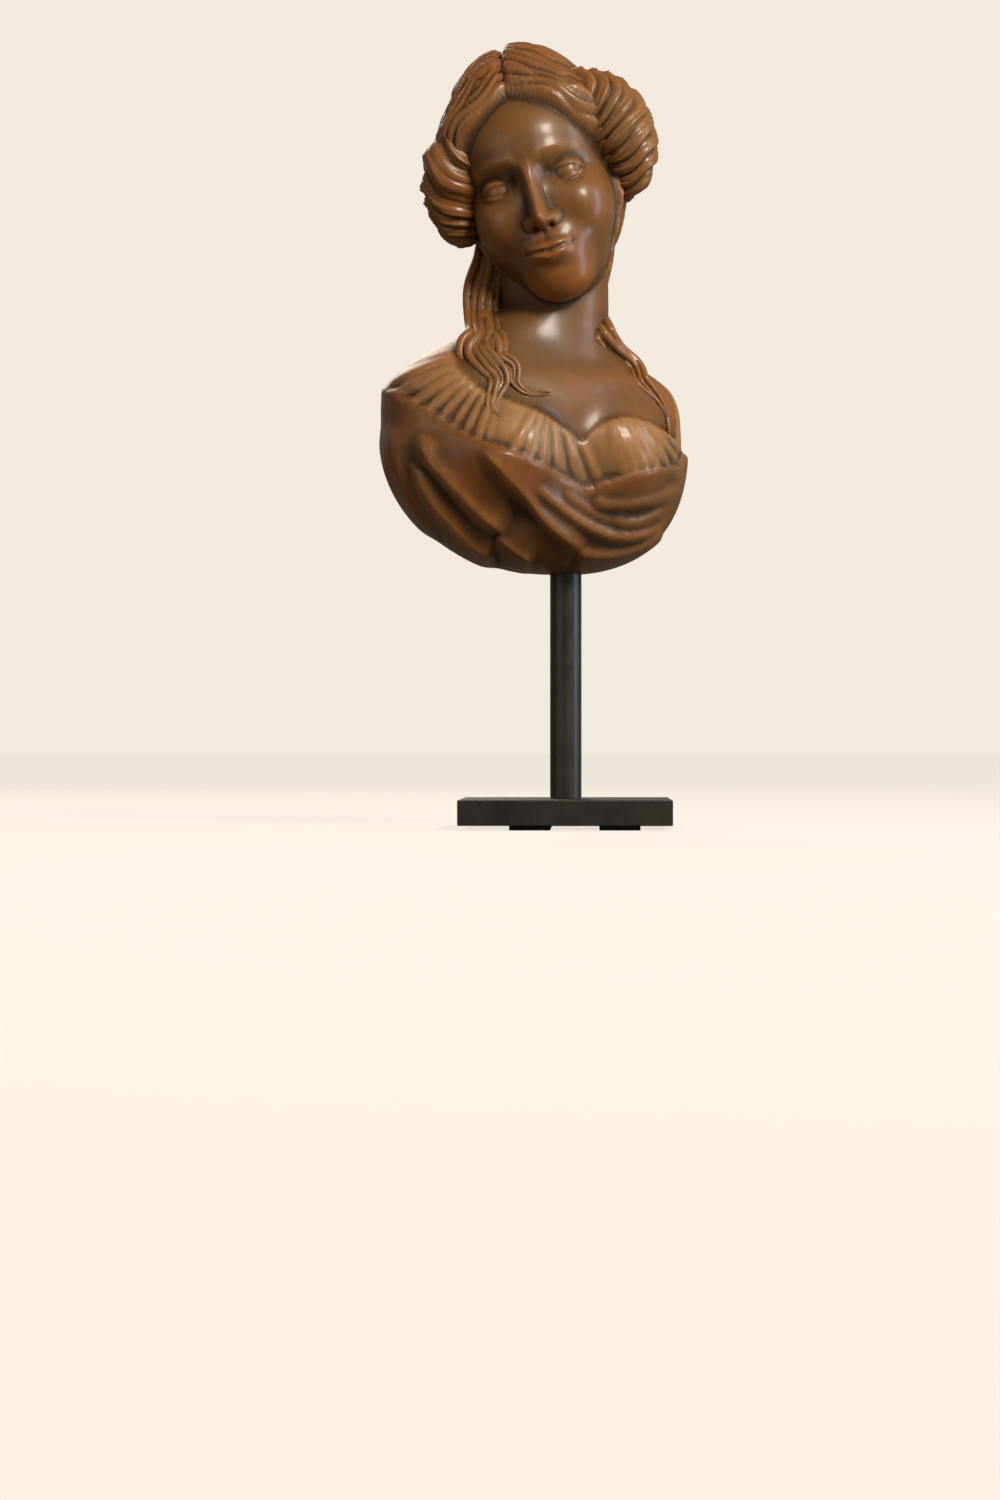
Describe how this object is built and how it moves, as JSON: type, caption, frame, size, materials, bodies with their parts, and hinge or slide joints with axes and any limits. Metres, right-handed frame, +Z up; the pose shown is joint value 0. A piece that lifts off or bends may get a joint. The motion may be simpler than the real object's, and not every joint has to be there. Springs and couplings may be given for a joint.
{
  "type": "ship figurehead",
  "caption": "Carved wooden head-and-shoulders figurehead of a woman in a draped mantle, held upright on a steel rod and square base plate.",
  "frame": {"origin": "on the surface it stands on, under the middle of its box", "axes": "+Z up, the chest faces -Y, +X towards the figure's left hand"},
  "size_m": [0.2942, 0.2522, 0.7508],
  "materials": {
    "carved_wood": "old brown varnish over carved wood, glossy on the high places, darker in the hollows, worn to orange in the folds",
    "black_steel": "smooth black satin coat",
    "felt": "dense black felt"
  },
  "bodies": {
    "root": {"carved_bust": "carved_wood", "rod": "black_steel", "base_plate": "black_steel", "foot_strip_left": "felt", "foot_strip_right": "felt"}
  },
  "joints": []
}
